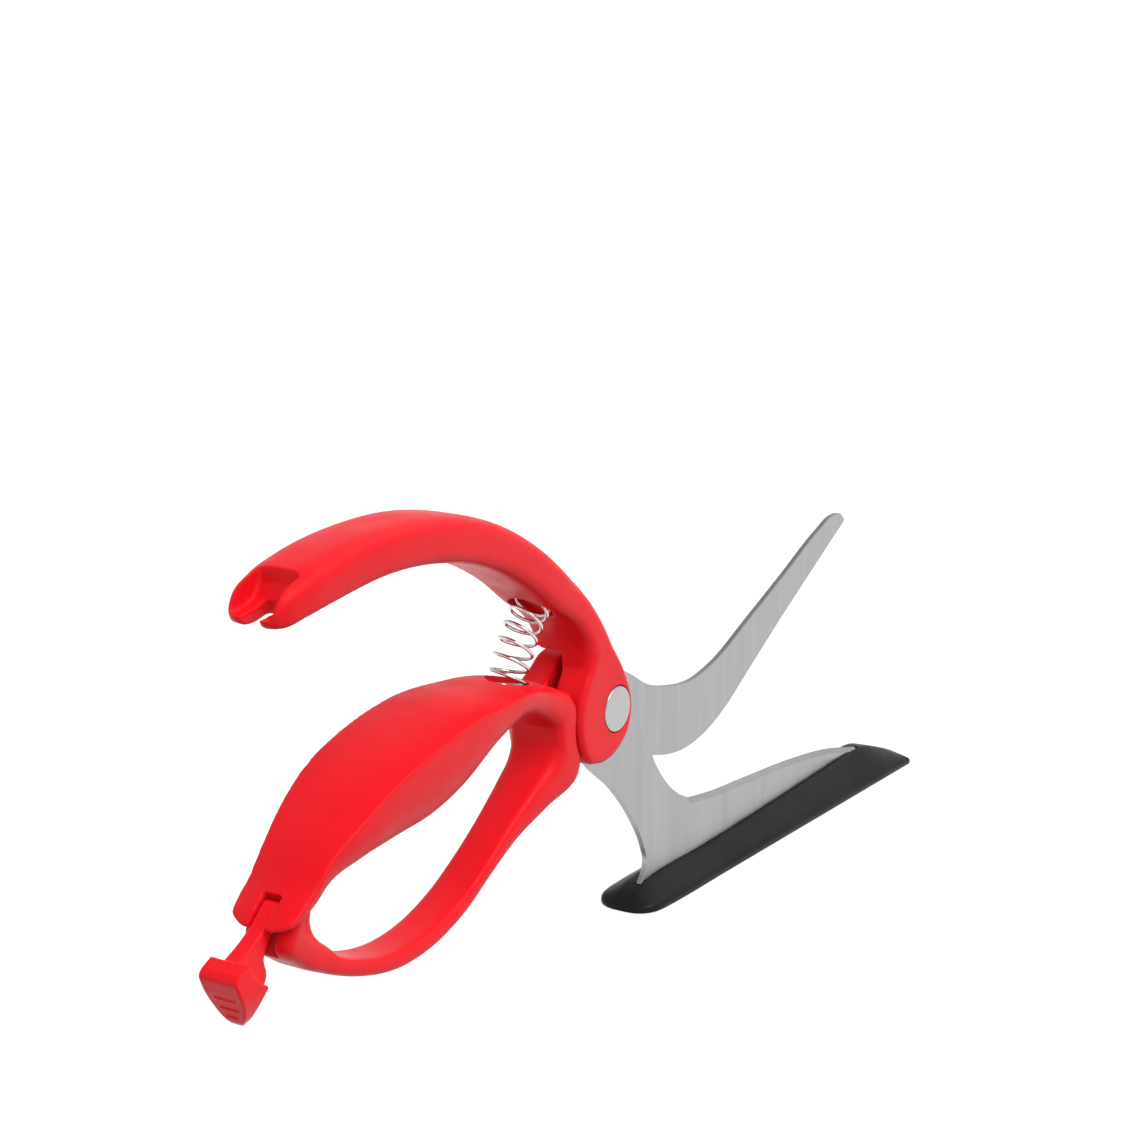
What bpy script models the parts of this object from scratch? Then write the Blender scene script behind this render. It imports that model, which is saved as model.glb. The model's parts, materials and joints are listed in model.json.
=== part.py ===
"""Spring-loaded offset shears: an arched upper handle and a looped lower handle turn on one rivet.

The upper handle carries the lower blade and its flat sled. The lower handle carries the upper blade
and a swinging latch that hooks into the tip of the upper handle. Outlines are drawn in millimetres
about the rivet's axis: +X runs forward to the blades, +Z up and +Y to the far side.
"""

import math

import bmesh
import bpy
import numpy as np
from mathutils import Matrix, Vector

MM = 0.001
COLLECTION = "offset_shears"

# Driving dimensions, in millimetres.
PIVOT = Vector((-94.0, 0.0, 60.0))  # the rivet's axis, seen from the middle of the sled's flat bottom
GAP = 0.3  # clearance between neighbouring pieces
HANDLE_HALF = 9.0  # half the width of the upper handle
BLADE_THICK = 1.5
BLADE_FACE = 0.15  # each blade's cutting face stands this far from the middle plane
LAP_Y = 2.2  # inner faces of the two half-lapped lobes, either side of the blades
LAP_R = 17.2  # radius of the round shoulder where the lower handle becomes full width
FAR_LAP_R = 19.8  # and where the upper handle does, behind the lower handle's lobe
EYE_LAP_R = 14.0  # within this radius the upper handle is cut back to make room for both blades
EYE_R = 11.5  # rounded eye of each blade and of the far lobe
SHANK_R = 2.6
STUD_HEAD_R = 5.75
STUD_HEAD_THICK = 1.1
WASHER_THICK = 0.5
SEAT_GAP = 0.2  # clearance under each head and the washer
SLED_BOTTOM = -PIVOT.z
SLED_HALF = 9.0
SPRING_LOW = Vector((-35.0, 0.0, 13.5))  # where the spring's axis leaves the lower handle
SPRING_HIGH = Vector((-25.5, 0.0, 29.3))  # and where it enters the upper handle
SPRING_R = 4.4
WIRE_R = 0.45
SPRING_TURNS = 8
POCKET_R = 5.5
POCKET_DEPTH = 3.5
LATCH_AXIS = Vector((-123.0, 0.0, -14.5))
LATCH_STRAP_HALF = 2.1
LATCH_HEAD_HALF = 5.2
LATCH_PIN_R = 1.0
PIN_HALF = 5.5  # half the length of the latch's pin
HOOK_R = 16.0  # the hook's inner face swings just outside the upper handle's tip

# The far recess holds the cap, the washer under it and their clearances.
FAR_RECESS = STUD_HEAD_THICK + WASHER_THICK + SEAT_GAP

# Depths of the slots that hold a blade, on either side of its two faces.
POCKET_NEAR = BLADE_FACE - GAP
POCKET_FAR = BLADE_FACE + BLADE_THICK + GAP

# Stations along a moulded bar: top x, top z, bottom x, bottom z, half width, height of the widest level
# (0 at the bottom, 1 at the top).
ARCH = [
    (-129.6, 50.3, -128.6, 47.9, 3.6, 0.4),
    (-128.6, 52.4, -127.2, 47.3, 5.6, 0.4),
    (-125.6, 55.2, -124.4, 47.1, 7.4, 0.4),
    (-119.3, 57.8, -118.0, 48.0, 8.7, 0.45),
    (-110.0, 60.2, -108.5, 49.5, 9.0, 0.5),
    (-92.0, 62.5, -91.0, 51.7, 9.0, 0.5),
    (-70.0, 61.7, -71.5, 50.5, 9.0, 0.5),
    (-49.5, 56.3, -54.0, 46.2, 9.0, 0.5),
    (-29.2, 45.6, -35.5, 37.0, 9.0, 0.5),
    (-19.2, 37.8, -26.0, 30.2, 9.0, 0.5),
    (-9.7, 29.0, -17.0, 24.5, 9.0, 0.5),
    (-3.0, 20.6, -12.5, 18.6, 9.0, 0.5),
    (2.5, 12.0, -11.5, 11.0, 9.0, 0.5),
]
LEAF = [
    (-129.2, -17.4, -128.8, -18.8, 5.2, 0.6),
    (-127.6, -15.8, -126.4, -18.6, 8.2, 0.6),
    (-124.5, -13.0, -122.2, -17.0, 8.8, 0.65),
    (-120.8, -9.8, -117.8, -15.4, 9.0, 0.7),
    (-114.5, -4.4, -112.0, -11.4, 9.8, 0.75),
    (-104.5, 2.0, -101.0, -8.6, 11.8, 0.75),
    (-94.0, 7.4, -89.0, -7.0, 13.2, 0.78),
    (-78.0, 12.2, -75.0, -5.6, 13.8, 0.78),
    (-62.0, 14.8, -64.0, -2.0, 13.5, 0.75),
    (-48.0, 14.8, -51.0, 5.0, 12.0, 0.7),
    (-35.5, 13.3, -39.0, 7.6, 10.3, 0.6),
    (-28.0, 11.8, -30.0, 4.6, 8.8, 0.6),
    (-20.5, 9.7, -23.0, 0.0, 8.0, 0.6),
]
BAND = [
    (-118.0, -13.5, -123.8, -17.5, 7.0, 0.5),
    (-119.5, -17.0, -125.6, -22.0, 6.6, 0.5),
    (-115.2, -22.5, -119.5, -27.8, 5.8, 0.5),
    (-108.5, -28.3, -111.0, -32.4, 5.4, 0.5),
    (-98.4, -32.9, -100.0, -36.9, 5.4, 0.5),
    (-85.0, -35.6, -85.0, -39.7, 5.4, 0.5),
    (-74.0, -34.9, -73.0, -38.8, 5.4, 0.5),
    (-62.0, -31.3, -60.0, -34.7, 5.4, 0.5),
    (-50.7, -25.3, -48.8, -28.9, 5.4, 0.5),
    (-40.0, -18.0, -38.0, -23.4, 5.6, 0.5),
    (-31.0, -10.5, -27.0, -19.0, 6.6, 0.45),
    (-26.0, -6.0, -14.0, -13.6, 7.6, 0.4),
    (-24.0, -2.0, -13.5, -5.0, 8.1, 0.4),
    (-24.3, 2.0, -14.5, 2.5, 8.2, 0.4),
    (-27.0, 5.6, -19.2, 8.4, 8.2, 0.45),
]


# --- scene and materials -------------------------------------------------------------------------


def clear_scene():
    for piece in list(bpy.data.objects):
        bpy.data.objects.remove(piece, do_unlink=True)


def new_collection(name):
    collection = bpy.data.collections.new(name)
    bpy.context.scene.collection.children.link(collection)
    return collection


def material(name, colour, roughness, metallic=0.0):
    made = bpy.data.materials.new(name)
    made.use_nodes = True
    shader = made.node_tree.nodes["Principled BSDF"]
    shader.inputs["Base Color"].default_value = (*colour, 1.0)
    shader.inputs["Roughness"].default_value = roughness
    shader.inputs["Metallic"].default_value = metallic
    return made


def add_object(name, mesh):
    piece = bpy.data.objects.new(name, mesh)
    piece.location = PIVOT * MM
    cutters.objects.link(piece)
    piece.hide_render = True
    piece.display_type = "WIRE"
    return piece


def publish(piece, name, finish):
    """Make a finished shape a part of the object, under its own name and with its own material."""
    piece.name = name
    piece.data.name = name
    piece.data.materials.clear()
    piece.data.materials.append(finish)
    piece.data.shade_smooth()
    piece.data.set_sharp_from_angle(angle=math.radians(35))
    piece.hide_render = False
    piece.display_type = "TEXTURED"
    cutters.objects.unlink(piece)
    parts.objects.link(piece)
    return piece


# --- outlines and solids -------------------------------------------------------------------------


def smooth(points, steps=5):
    """Points along a Catmull-Rom curve through the given points, both ends included."""
    rows = [np.array(p, float) for p in points]
    rows = [2 * rows[0] - rows[1]] + rows + [2 * rows[-1] - rows[-2]]
    curve = []
    for before, here, there, after in zip(rows, rows[1:], rows[2:], rows[3:]):
        for step in range(steps):
            t = step / steps
            bend = 2 * before - 5 * here + 4 * there - after
            twist = 3 * here - before - 3 * there + after
            curve.append(here + 0.5 * t * (there - before + t * (bend + t * twist)))
    return curve + [rows[-2]]


def arc(radius, start, end, centre=(0.0, 0.0), steps=10):
    angles = np.radians(np.linspace(start, end, steps + 1))
    return [(centre[0] + radius * math.cos(a), centre[1] + radius * math.sin(a)) for a in angles]


def plate(name, loops, low_y, high_y):
    """A flat solid from closed outlines in X and Z; the loops after the first are holes."""
    curve = bpy.data.curves.new(name, "CURVE")
    curve.dimensions = "2D"
    curve.fill_mode = "BOTH"
    curve.extrude = 0.5 * (high_y - low_y) * MM
    for loop in loops:
        spline = curve.splines.new("POLY")
        spline.points.add(len(loop) - 1)
        spline.use_cyclic_u = True
        for point, (x, z) in zip(spline.points, loop):
            point.co = (x * MM, z * MM, 0.0, 1.0)
    middle = Matrix.Translation((0.0, 0.5 * (low_y + high_y) * MM, 0.0))
    return curve_to_object(name, curve, middle @ Matrix.Rotation(math.pi / 2, 4, "X"))


def curve_to_object(name, curve, placing=None):
    drawn = bpy.data.objects.new(name, curve)
    cutters.objects.link(drawn)
    evaluated = drawn.evaluated_get(bpy.context.evaluated_depsgraph_get())
    mesh = bpy.data.meshes.new_from_object(evaluated)
    bpy.data.objects.remove(drawn)
    weld = bmesh.new()
    weld.from_mesh(mesh)
    bmesh.ops.remove_doubles(weld, verts=weld.verts, dist=0.00001)
    if placing:
        weld.transform(placing)
    bmesh.ops.recalc_face_normals(weld, faces=weld.faces)
    weld.to_mesh(mesh)
    weld.free()
    return add_object(name, mesh)


def ring(station, sides, roundness):
    """One closed section: a rounded rectangle between the top and bottom points of a station."""
    top = np.array([station[0], 0.0, station[1]])
    bottom = np.array([station[2], 0.0, station[3]])
    half, level = station[4], station[5]
    waist = bottom + level * (top - bottom)
    points = []
    for k in range(sides):
        angle = 2 * math.pi * (k + 0.5) / sides
        across = math.copysign(abs(math.cos(angle)) ** roundness, math.cos(angle))
        up = abs(math.sin(angle)) ** roundness
        goal = top if math.sin(angle) > 0 else bottom
        points.append(waist + up * (goal - waist) + np.array([0.0, half * across, 0.0]))
    return points


def bar(name, stations, sides=20, steps=3, roundness=0.62):
    """A moulded bar lofted through its stations, with a flat cap on each end."""
    mesh = bpy.data.meshes.new(name)
    shape = bmesh.new()
    rings = []
    for station in smooth(stations, steps):
        rings.append([shape.verts.new(Vector(p) * MM) for p in ring(station, sides, roundness)])
    for first, second in zip(rings, rings[1:]):
        for k in range(sides):
            after = (k + 1) % sides
            shape.faces.new((first[k], first[after], second[after], second[k]))
    shape.faces.new(rings[0])
    shape.faces.new(rings[-1])
    bmesh.ops.recalc_face_normals(shape, faces=shape.faces)
    shape.to_mesh(mesh)
    shape.free()
    return add_object(name, mesh)


def rod(name, radius, start, end, sides=48):
    """A round rod between two points about the rivet."""
    start, end = Vector(start) * MM, Vector(end) * MM
    shape = bmesh.new()
    bmesh.ops.create_cone(
        shape,
        cap_ends=True,
        segments=sides,
        radius1=radius * MM,
        radius2=radius * MM,
        depth=(end - start).length,
    )
    turn = (end - start).to_track_quat("Z", "Y").to_matrix().to_4x4()
    shape.transform(Matrix.Translation((start + end) / 2) @ turn)
    mesh = bpy.data.meshes.new(name)
    shape.to_mesh(mesh)
    shape.free()
    return add_object(name, mesh)


def boolean(target, operand, operation):
    change = target.modifiers.new(operand.name, "BOOLEAN")
    change.operation = operation
    change.solver = "EXACT"
    change.object = operand
    return target


def cut(target, *operands):
    for operand in operands:
        boolean(target, operand, "DIFFERENCE")
    return target


def join(target, *operands):
    for operand in operands:
        boolean(target, operand, "UNION")
    return target


# --- blades --------------------------------------------------------------------------------------


def tang_of_lower_blade(margin):
    """The strip of the lower blade that runs up inside the arch, grown by a margin for its pocket."""
    right = smooth([(9.0, 5.0), (1.5, 10.5), (-4.5, 18.5), (-9.5, 25.5 + margin)], 3)
    left = smooth([(-13.0 - margin, 23.5 + margin), (-9.5 - margin, 17.0), (-9.5 - margin, 5.0)], 3)
    grown = [(x + margin, z) for x, z in right]
    return grown + [tuple(p) for p in left]


def shank_hole():
    """The round hole that each blade turns on."""
    return arc(SHANK_R + GAP / 2, 0, 345, steps=23)


def lower_blade():
    rear = smooth(
        [(-9.5, -6.5), (-2.0, -15.5), (10.0, -25.2), (20.0, -36.5), (25.0, -44.5), (26.6, -49.5)]
        + [(25.6, -52.6), (23.8, -54.8)]
    )
    foot = [(25.0, -57.0)]
    under = [(136.0, -57.0), (146.0, -54.5)]
    heel = (50.0, -38.6)
    edge = smooth([(148.0, -50.5), (130.0, -46.3), (110.0, -43.6), (80.0, -41.3), (60.0, -39.9), heel])
    front = smooth([heel, (40.0, -33.5), (32.0, -25.5), (25.0, -14.0), (16.0, -4.0), (10.5, 4.0)])[1:]
    outline = [tuple(p) for p in rear] + foot + under + [tuple(p) for p in edge + front]
    outline += tang_of_lower_blade(0.0)
    return plate("lower_blade", [outline, shank_hole()], -BLADE_FACE - BLADE_THICK, -BLADE_FACE)


def upper_blade():
    spine = smooth(
        [(8.0, 8.3), (20.0, 3.0), (30.0, -2.5), (41.0, -5.5), (52.0, -6.6), (62.9, -4.7), (83.0, 3.3)]
        + [(103.0, 11.8), (123.0, 20.5), (131.5, 23.2), (136.5, 22.8), (139.0, 20.5)],
        4,
    )
    edge = smooth(
        [(139.0, 20.5), (120.0, 10.0), (100.0, -1.2), (80.0, -13.0), (70.0, -18.8), (60.0, -22.8)]
        + [(48.0, -24.7), (35.0, -23.0), (20.0, -17.0), (8.0, -11.0)],
        4,
    )[1:]
    outline = [tuple(p) for p in spine + edge] + upper_tang(0.0) + arc(EYE_R, 160, 60, steps=8)
    return plate("upper_blade", [outline, shank_hole()], BLADE_FACE, BLADE_FACE + BLADE_THICK)


def upper_tang(margin):
    """The flared stub of the upper blade that is moulded into the lower handle."""
    return [
        (-9.0, -10.5 - margin),
        (-22.0 - margin, -11.0 - margin),
        (-22.5 - margin, 4.5 + margin),
        (-11.0, 4.0 + margin),
    ]


def blade_sled():
    """The black runner: flat below, thin at its rim and swept up to the blade that stands in it."""
    mesh = bpy.data.meshes.new("blade_sled")
    shape = bmesh.new()
    rings = []
    for x, rim, ridge, half in SLED_STATIONS:
        section = [(-half, 0.0), (-half, rim), (-2.6, ridge), (2.6, ridge), (half, rim), (half, 0.0)]
        rings.append([shape.verts.new(Vector((x, y, SLED_BOTTOM + z)) * MM) for y, z in section])
    for first, second in zip(rings, rings[1:]):
        for k in range(len(first)):
            after = (k + 1) % len(first)
            shape.faces.new((first[k], first[after], second[after], second[k]))
    shape.faces.new(rings[0])
    shape.faces.new(rings[-1])
    bmesh.ops.recalc_face_normals(shape, faces=shape.faces)
    shape.to_mesh(mesh)
    shape.free()
    sled = add_object("sled_body", mesh)
    slot_y = (-POCKET_FAR, -POCKET_NEAR)
    slot = [(23.0, -45.0), (23.2, -56.0), (24.6, -57.4), (136.5, -57.4)]
    slot += [(146.8, -54.7), (149.0, -50.0), (149.0, -45.0)]
    return cut(sled, plate("sled_slot", [slot], *slot_y))


# x, height of the side rim, height of the ridge beside the blade, half width
SLED_STATIONS = [
    (18.0, 1.5, 1.9, SLED_HALF - 3.6),
    (19.0, 1.8, 2.8, SLED_HALF - 1.4),
    (21.5, 2.0, 4.3, SLED_HALF - 0.3),
    (26.0, 2.0, 5.4, SLED_HALF),
    (57.0, 2.0, 6.2, SLED_HALF),
    (97.0, 2.0, 7.6, SLED_HALF),
    (127.0, 2.0, 8.9, SLED_HALF),
    (142.0, 2.0, 9.6, SLED_HALF),
    (151.0, 2.0, 9.0, SLED_HALF),
    (161.0, 1.8, 5.4, SLED_HALF),
    (167.0, 1.5, 2.7, SLED_HALF - 0.3),
    (170.0, 1.1, 1.3, SLED_HALF - 1.6),
]


# --- handles -------------------------------------------------------------------------------------


def upper_handle():
    arch = bar("arch", ARCH)
    right = smooth(
        [(-5.0, 22.8), (0.5, 15.8), (5.2, 8.0), (7.6, 0.0), (5.6, -7.0), (0.0, -11.2), (-6.0, -12.0)]
        + [(-11.8, -11.6)]
    )
    left = arc(LAP_R - 2 * GAP, 224, 137, steps=8)
    lobe = [tuple(p) for p in right] + left + [(-8.0, 20.0)]
    near_lobe = plate("near_lobe", [lobe], -HANDLE_HALF, 0.0)
    far_lap = rod("far_lap", FAR_LAP_R, (0, -BLADE_FACE, 0), (0, HANDLE_HALF + 2, 0), 64)
    eye_lap = rod("eye_lap", EYE_LAP_R, (0, -LAP_Y, 0), (0, 1, 0), 64)
    tang = [tuple(p) for p in tang_of_lower_blade(GAP)]
    tang_pocket = plate("tang_pocket", [tang], -POCKET_FAR, -POCKET_NEAR)
    axis = (SPRING_HIGH - SPRING_LOW).normalized()
    roof = SPRING_HIGH + POCKET_DEPTH * axis
    spring_pocket = rod("high_pocket", POCKET_R, SPRING_HIGH - 8 * axis, roof, 36)
    rivet = rivet_cutters(-HANDLE_HALF - 1, 1 - LAP_Y, -HANDLE_HALF, STUD_HEAD_THICK)
    laps_and_pockets = (far_lap, eye_lap, tang_pocket, spring_pocket)
    return cut(join(arch, near_lobe), *laps_and_pockets, *tip_cutters(), *rivet)


def tip_cutters():
    """The mouth in the arch's tip that takes the latch's head, and the slot for the latch's strap."""
    mouth = [(-117.8, 64.0), (-118.4, 55.0), (-119.8, 51.2), (-123.4, 50.0), (-134.0, 49.6), (-134.0, 64.0)]
    slot = [(-117.6, 45.0), (-119.8, 52.0), (-134.0, 52.0), (-134.0, 45.0)]
    half = LATCH_HEAD_HALF + GAP
    strap = LATCH_STRAP_HALF + GAP
    return plate("mouth", [mouth], -half, half), plate("strap_slot", [slot], -strap, strap)


def rivet_cutters(low_y, high_y, face_y, depth):
    """The shank's hole through a lobe and the round recess for the head that closes it."""
    sunk = math.copysign(depth, face_y)
    hole = rod("shank_hole", SHANK_R + GAP / 2, (0, low_y, 0), (0, high_y, 0))
    recess = rod("head_recess", STUD_HEAD_R + GAP, (0, face_y + sunk, 0), (0, face_y - sunk, 0))
    return hole, recess


def lower_handle():
    leaf = bar("leaf", LEAF, sides=24)
    band = bar("band", BAND, sides=16)
    far_lobe = plate("far_lobe", [lobe_outline()], LAP_Y - 1, HANDLE_HALF)
    near_lap = rod("near_lap", LAP_R + GAP, (0, -HANDLE_HALF - 2, 0), (0, LAP_Y, 0), 64)
    tang = plate("stub_pocket", [upper_tang(GAP)], POCKET_NEAR, POCKET_FAR)
    axis = (SPRING_HIGH - SPRING_LOW).normalized()
    floor = SPRING_LOW - POCKET_DEPTH * axis
    spring_pocket = rod("low_pocket", POCKET_R, floor, SPRING_LOW + 8 * axis, 36)
    rivet = rivet_cutters(LAP_Y - 1, HANDLE_HALF + 1, HANDLE_HALF, FAR_RECESS)
    return cut(join(leaf, band, far_lobe), near_lap, tang, spring_pocket, *latch_cutters(), *rivet)


def lobe_outline():
    """A round eye about the rivet that grows into a broader shoulder above the leaf's front end."""
    shoulder = smooth([(0.0, 12.6), (-4.0, 14.4), (-8.5, 13.8), (-12.8, 11.0), (-18.0, 8.4)], 3)
    return arc(EYE_R, -125, 72, steps=20) + shoulder + [(-20.0, -13.0), (-12.6, -12.2)]


def latch_cutters():
    """The groove in the lower handle's rear for the latch's strap, and the hole for its pin."""
    groove = [(-119.0, -2.0), (-119.0, -15.5), (-121.0, -19.0), (-126.0, -30.0)]
    groove += [(-136.0, -30.0), (-136.0, -2.0)]
    half = LATCH_STRAP_HALF + GAP
    return plate("strap_groove", [groove], -half, half), across_latch("pin_hole", GAP / 2, PIN_HALF + GAP)


def across_latch(name, wider, half):
    """A round rod along the latch's axis, as wide as its pin or a little wider."""
    reach = Vector((0, half, 0))
    return rod(name, LATCH_PIN_R + wider, LATCH_AXIS - reach, LATCH_AXIS + reach, 24)


# --- latch, rivet and spring ---------------------------------------------------------------------


def latch():
    """A strap on a pin with a wide hooked head that ends in a thumb tab."""
    x, z = LATCH_AXIS.x, LATCH_AXIS.z
    strap = [(x - 14.4, z - 7.6), (x - 9.2, z - 14.4), (x - 6.2, z - 13.3), (x - 5.3, z - 11.6)]
    strap += [(x - 5.6, z - 9.0), (x - 2.6, z - 4.6)]
    strap += arc(2.4, -70, 150, (x, z), steps=12)
    strap_solid = plate("strap", [strap], -LATCH_STRAP_HALF, LATCH_STRAP_HALF)
    hook = arc(HOOK_R, 239, 202, (x, z), steps=6)
    end = (-135.4, -35.0)
    tab = smooth([hook[-1], (-140.2, -20.2), (-141.8, -22.4), (-141.0, -27.0), (-138.4, -32.4), end], 3)
    tip = smooth([end, (-133.2, -33.6), (-131.6, -31.0), hook[0]], 3)
    head = plate("latch_head", [hook[:-1] + tab[:-1] + tip[:-1]], -LATCH_HEAD_HALF, LATCH_HEAD_HALF)
    return cut(join(head, strap_solid), across_latch("latch_bore", GAP / 2, PIN_HALF))


def turned(name, profile, closed=False):
    """A body of revolution about the rivet's axis, from radius and depth pairs, far side first."""
    mesh = bpy.data.meshes.new(name)
    edges = [(k, k + 1) for k in range(len(profile) - 1)]
    if closed:
        edges.append((len(profile) - 1, 0))
    mesh.from_pydata([(r * MM, y * MM, 0.0) for r, y in profile], edges, [])
    piece = add_object(name, mesh)
    spin = piece.modifiers.new("spin", "SCREW")
    spin.axis = "Y"
    spin.steps = 48
    spin.render_steps = 48
    spin.use_merge_vertices = True
    spin.merge_threshold = 0.00001
    return piece


def pivot_stud():
    face = -HANDLE_HALF - SEAT_GAP
    seat = face + STUD_HEAD_THICK
    tail = HANDLE_HALF - 0.5 * STUD_HEAD_THICK
    rim = STUD_HEAD_R
    profile = [(0.0, tail), (SHANK_R - 0.3, tail), (SHANK_R, tail - 0.3), (SHANK_R, seat)]
    profile += [(rim, seat), (rim, face + 0.3), (rim - 0.35, face), (0.0, face)]
    return turned("pivot_stud", profile)


def pivot_cap():
    """The far head, a cap pressed over the stud's tail."""
    face = HANDLE_HALF + SEAT_GAP
    seat = face - STUD_HEAD_THICK
    roof = HANDLE_HALF - 0.5 * STUD_HEAD_THICK + SEAT_GAP
    bore = SHANK_R + GAP / 2
    rim = STUD_HEAD_R
    profile = [(0.0, face), (rim - 0.35, face), (rim, face - 0.3), (rim, seat)]
    profile += [(bore, seat), (bore, roof), (0.0, roof)]
    return turned("pivot_cap", profile)


def tension_washer():
    """The spring washer under the cap that keeps the blades pressed together."""
    high = HANDLE_HALF + SEAT_GAP - STUD_HEAD_THICK - SEAT_GAP
    low = high - WASHER_THICK
    bore = SHANK_R + GAP
    rim = STUD_HEAD_R - GAP
    return turned("tension_washer", [(bore, high), (rim, high), (rim, low), (bore, low)], closed=True)


def coil_spring():
    """The return spring: closed end turns, open turns between, and its ends inside both pockets."""
    axis = (SPRING_HIGH - SPRING_LOW).normalized()
    side = axis.cross(Vector((0, 1, 0))).normalized()
    low = SPRING_LOW - (POCKET_DEPTH - WIRE_R - GAP) * axis
    high = SPRING_HIGH + (POCKET_DEPTH - WIRE_R - GAP) * axis
    per_turn = 12
    count = SPRING_TURNS * per_turn
    curve = bpy.data.curves.new("return_spring", "CURVE")
    curve.dimensions = "3D"
    curve.bevel_depth = WIRE_R * MM
    curve.bevel_resolution = 2
    curve.use_fill_caps = True
    spline = curve.splines.new("POLY")
    spline.points.add(count)
    for k, point in enumerate(spline.points):
        turn = 2 * math.pi * k / per_turn
        offset = SPRING_R * (math.cos(turn) * side + math.sin(turn) * Vector((0, 1, 0)))
        place = low.lerp(high, coil_rise(k / count)) + offset
        point.co = (*(place * MM), 1.0)
    return curve_to_object("return_spring", curve)


def coil_rise(t):
    """Share of the spring's length reached at a share of its turns: nearly flat turns at both ends."""
    closed_share = 1.0 / SPRING_TURNS
    closed_rise = 0.045
    if t < closed_share:
        return t / closed_share * closed_rise
    if t > 1 - closed_share:
        return 1 - (1 - t) / closed_share * closed_rise
    return closed_rise + (t - closed_share) / (1 - 2 * closed_share) * (1 - 2 * closed_rise)


def build():
    steel = material("brushed_steel", (0.62, 0.62, 0.63), 0.35, 1.0)
    bright = material("rivet_steel", (0.68, 0.68, 0.68), 0.25, 1.0)
    wire = material("spring_steel", (0.6, 0.6, 0.6), 0.2, 1.0)
    red = material("red_handle", (0.82, 0.03, 0.04), 0.45)
    gloss_red = material("red_latch", (0.82, 0.03, 0.04), 0.35)
    black = material("black_nylon", (0.02, 0.02, 0.02), 0.4)
    publish(lower_blade(), "lower_blade", steel)
    publish(upper_blade(), "upper_blade", steel)
    publish(blade_sled(), "blade_sled", black)
    publish(upper_handle(), "upper_handle", red)
    publish(lower_handle(), "lower_handle", red)
    publish(pivot_stud(), "pivot_stud", bright)
    publish(pivot_cap(), "pivot_cap", bright)
    publish(tension_washer(), "tension_washer", bright)
    publish(coil_spring(), "return_spring", wire)
    publish(latch(), "latch", gloss_red)
    publish(across_latch("pin", 0.0, PIN_HALF), "latch_pin", bright)


clear_scene()
parts = new_collection(COLLECTION)
cutters = new_collection("cutters")
build()
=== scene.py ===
import json
import math

import bmesh
import bpy
import numpy as np
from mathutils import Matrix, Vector


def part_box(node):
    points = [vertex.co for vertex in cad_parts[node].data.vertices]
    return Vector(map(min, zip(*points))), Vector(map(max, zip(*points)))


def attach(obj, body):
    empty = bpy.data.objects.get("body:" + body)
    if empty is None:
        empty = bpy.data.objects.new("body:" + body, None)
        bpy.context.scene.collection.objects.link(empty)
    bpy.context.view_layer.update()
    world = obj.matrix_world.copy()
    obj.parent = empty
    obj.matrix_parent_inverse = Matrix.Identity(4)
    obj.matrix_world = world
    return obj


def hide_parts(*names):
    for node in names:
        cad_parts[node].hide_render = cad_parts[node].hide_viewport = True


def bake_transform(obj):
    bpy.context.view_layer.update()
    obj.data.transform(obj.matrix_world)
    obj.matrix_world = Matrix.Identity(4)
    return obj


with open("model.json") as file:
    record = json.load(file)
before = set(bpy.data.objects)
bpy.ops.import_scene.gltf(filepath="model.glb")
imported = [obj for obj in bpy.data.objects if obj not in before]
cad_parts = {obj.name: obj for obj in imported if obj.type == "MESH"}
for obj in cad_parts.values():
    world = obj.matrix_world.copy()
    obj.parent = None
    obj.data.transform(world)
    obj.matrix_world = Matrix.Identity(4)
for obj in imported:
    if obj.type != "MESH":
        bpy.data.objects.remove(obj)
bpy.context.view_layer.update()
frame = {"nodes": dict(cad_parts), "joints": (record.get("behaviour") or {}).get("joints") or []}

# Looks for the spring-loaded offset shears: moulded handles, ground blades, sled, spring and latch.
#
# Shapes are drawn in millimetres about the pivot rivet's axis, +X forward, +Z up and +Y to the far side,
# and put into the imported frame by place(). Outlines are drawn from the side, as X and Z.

MM = 0.001
JOINTS = {joint["name"]: joint for joint in frame["joints"]}
PIVOT = Vector(JOINTS["pivot"]["pos_m"])
LATCH_AXIS = (Vector(JOINTS["latch_hinge"]["pos_m"]) - PIVOT) / MM
SLED_BOTTOM = (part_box("blade_sled")[0].z - PIVOT.z) / MM

# --- sizes ---------------------------------------------------------------------------------------

GAP = 0.3  # clearance between neighbouring pieces
HANDLE_HALF = 9.0  # half the width of both handles round the rivet
OUTSIDE = HANDLE_HALF + 2  # a depth past the side of the handles, where cutters end
PAST = 1.0  # how far a cutter, or material that is cut back later, runs past a face

# The blades lie either side of the middle, and a lobe of each handle laps over them round the rivet.
BLADE_THICK = 1.5
BLADE_FACE = 0.15  # from the middle to a blade's inner face
GRIND = 1.3  # how far a ground edge is drawn in on the blade's outer face
GRIND_RUN_OUT = 0.16  # how much of it is lost from point to point behind the lower blade's edge
EYE_R = 11.5  # the round ends of the upper blade and of the far lobe
LAP_Y = 2.2  # from the middle to a lobe's inner face
LAP_R = 17.2  # between the near lobe's round back and the lower handle behind it
FAR_LAP_R = 19.8  # the arch's far side ends at this radius, round the far lobe
EYE_LAP_R = 14.0  # the hollow in the near lobe's inner face, where the lower blade lies

SHANK_R = 2.6
HEAD_R = 5.75
HEAD_THICK = 1.1
HEAD_RIM = 0.35  # rounding of a rivet head's rim
SHANK_CHAMFER = 0.3
WASHER_THICK = 0.5
SEAT_GAP = 0.2  # how far a rivet head stands proud, and the clearance behind the far one
SMALLEST_RING = 0.02  # a turned piece closes with a ring of this radius instead of a point

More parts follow.
